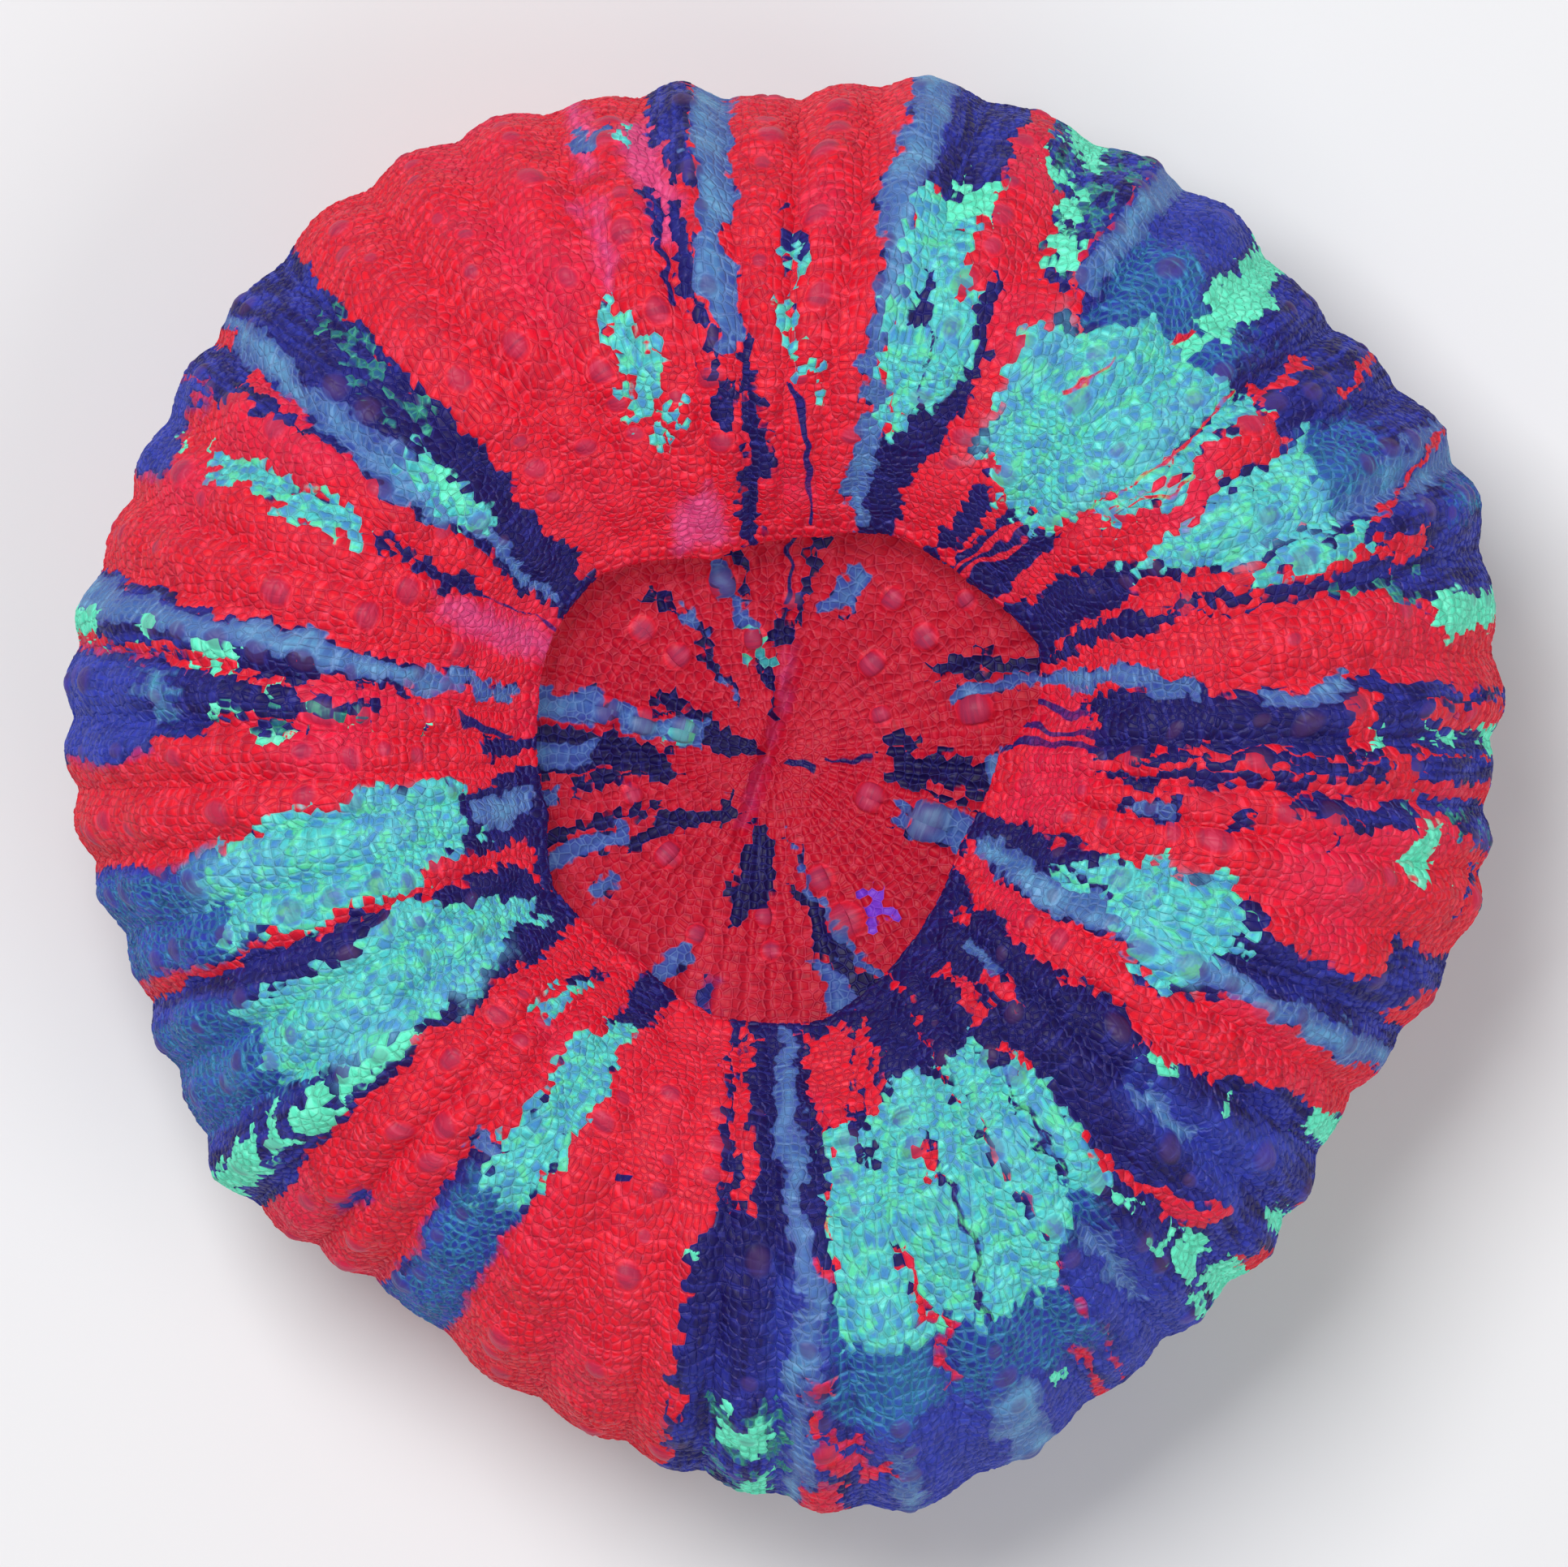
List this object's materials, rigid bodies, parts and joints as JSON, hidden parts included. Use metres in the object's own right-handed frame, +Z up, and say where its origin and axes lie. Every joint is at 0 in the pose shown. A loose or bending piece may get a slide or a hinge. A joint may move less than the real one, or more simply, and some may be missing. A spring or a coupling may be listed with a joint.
{
  "type": "scolymia coral",
  "caption": "Large round fleshy coral polyp with a ridged swollen mantle round a sunken oral disc, on its cut-off stony foot.",
  "frame": {"origin": "on the flat cut under the stony foot, below the middle of the disc", "axes": "+Z up out of the oral disc, +X to the picture's right, +Y to the picture's top"},
  "size_m": [0.0795, 0.0795, 0.0286],
  "materials": {
    "coral_flesh": "wet living flesh of small vesicles, fluorescent red with indigo, steel-blue and turquoise streaks",
    "coral_skeleton": "matt ribbed limestone skeleton with patches of pink crust"
  },
  "bodies": {
    "root": {"scolymia_coral": "coral_flesh"}
  },
  "joints": []
}
